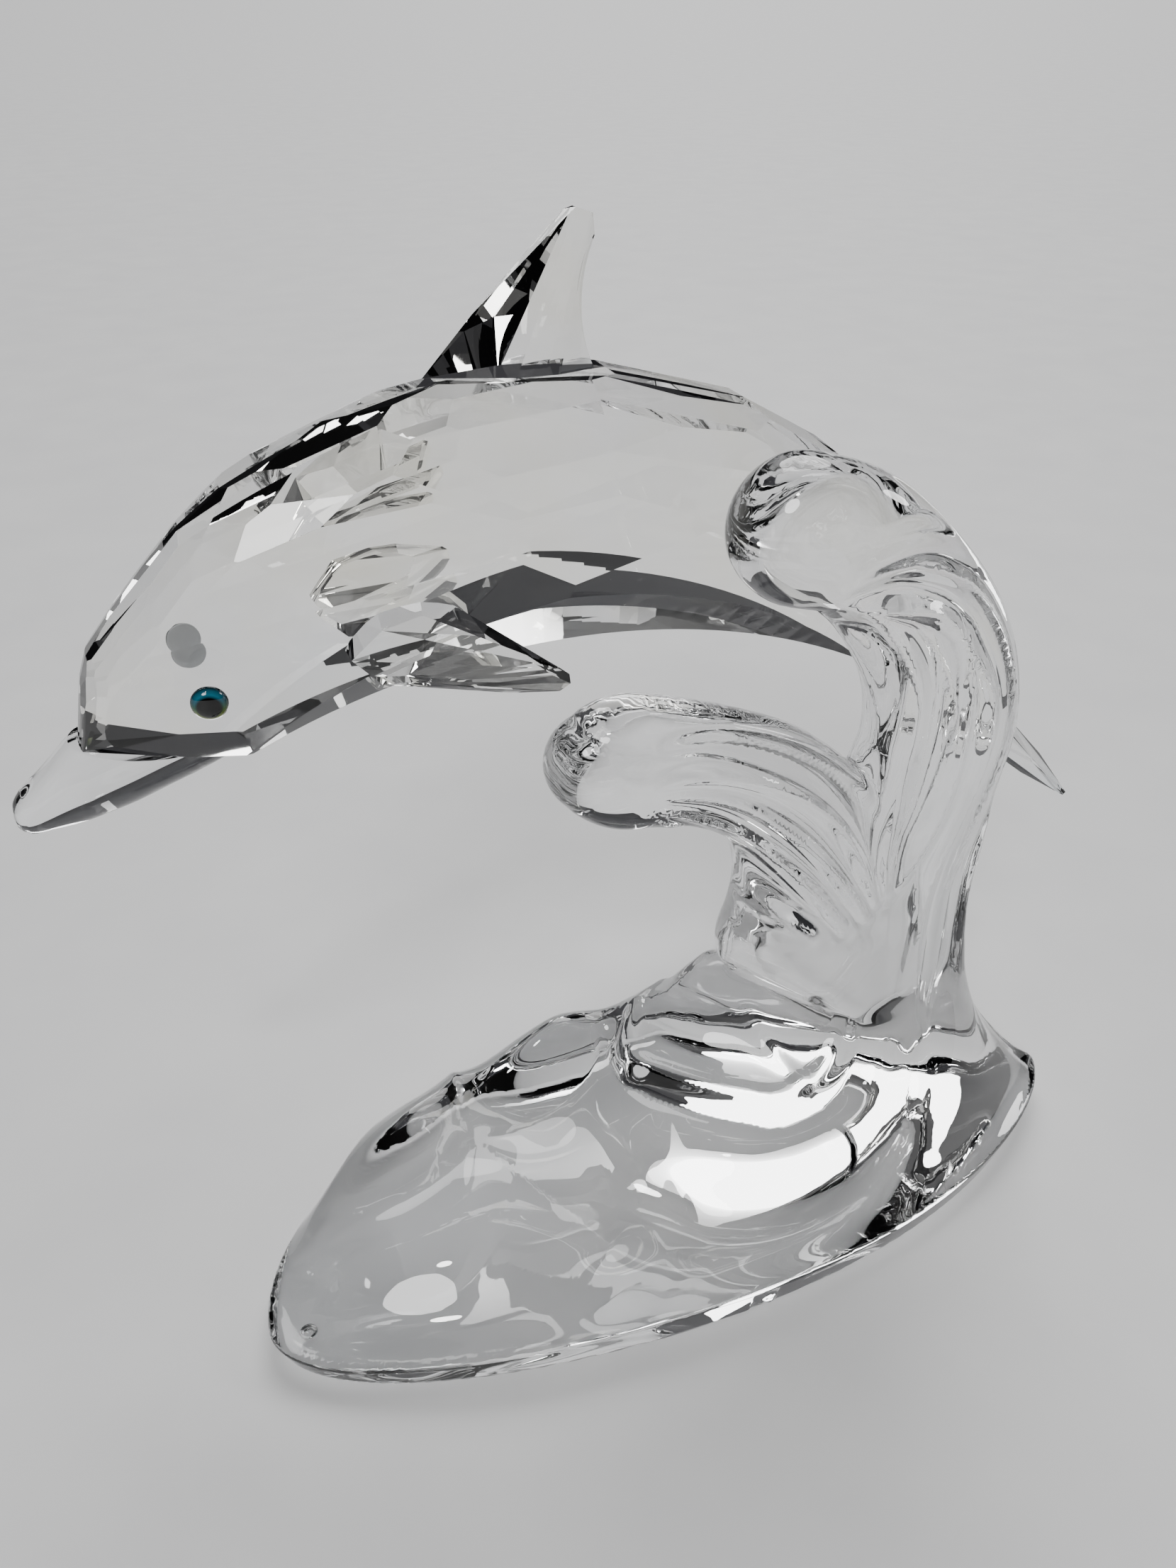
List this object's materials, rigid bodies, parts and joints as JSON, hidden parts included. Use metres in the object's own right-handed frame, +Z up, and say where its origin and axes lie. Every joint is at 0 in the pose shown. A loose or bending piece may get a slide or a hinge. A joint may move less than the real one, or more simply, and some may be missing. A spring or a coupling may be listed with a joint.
{
  "type": "crystal dolphin figurine",
  "caption": "Clear crystal ornament: a faceted dolphin leaping over a cast glass wave with curled crests on a leaf-shaped base.",
  "frame": {"origin": "middle of the figurine's box on the table", "axes": "+X from the beak to the tail, +Y away from the side the wave stands on, +Z up"},
  "size_m": [0.1396, 0.0702, 0.1309],
  "materials": {
    "clear_crystal": "polished clear crystal",
    "eye_glass": "glossy dark bead with a black pupil"
  },
  "bodies": {
    "root": {"wave_base": "clear_crystal", "dolphin_body": "clear_crystal", "beak": "clear_crystal", "dorsal_fin": "clear_crystal", "flipper_left": "clear_crystal", "flipper_right": "clear_crystal", "tail_fluke": "clear_crystal", "eye_left": "eye_glass", "eye_right": "eye_glass"}
  },
  "joints": []
}
